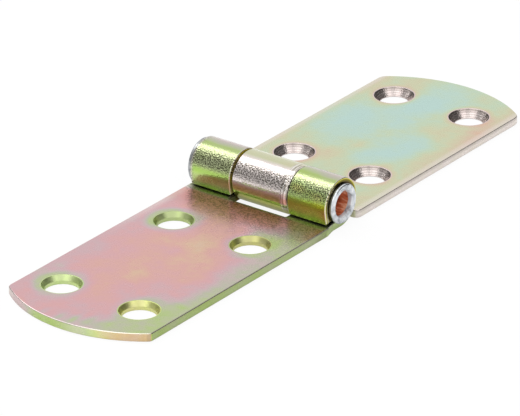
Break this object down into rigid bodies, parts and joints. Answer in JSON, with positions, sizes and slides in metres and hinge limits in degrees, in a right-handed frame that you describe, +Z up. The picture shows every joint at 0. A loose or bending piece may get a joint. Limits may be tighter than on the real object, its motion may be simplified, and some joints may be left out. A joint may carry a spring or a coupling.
{
  "type": "table hinge",
  "caption": "Long strap hinge with two rounded leaves, countersunk screw holes, curled knuckles and a fixed tubular pin riveted at its ends.",
  "frame": {"origin": "on the plane that the open leaves rest on, straight below the middle of the pin", "axes": "+X along the pin towards its riveted lip, +Y towards the rear leaf's end, +Z up"},
  "size_m": [0.0356, 0.135, 0.0105],
  "materials": {
    "leaf_plating": "zinc plated steel, iridescent yellow chromate",
    "pin_plating": "bright zinc plated steel tube, coppered bore"
  },
  "bodies": {
    "front": {"front_leaf": "leaf_plating", "hinge_pin": "pin_plating"},
    "rear": {"rear_leaf": "leaf_plating"}
  },
  "joints": [
    {"name": "leaf_hinge", "type": "hinge", "parent": "front", "child": "rear", "pos_m": [0, 0, 0.00525], "axis": [1, 0, 0], "range_deg": [-78, 185]}
  ]
}
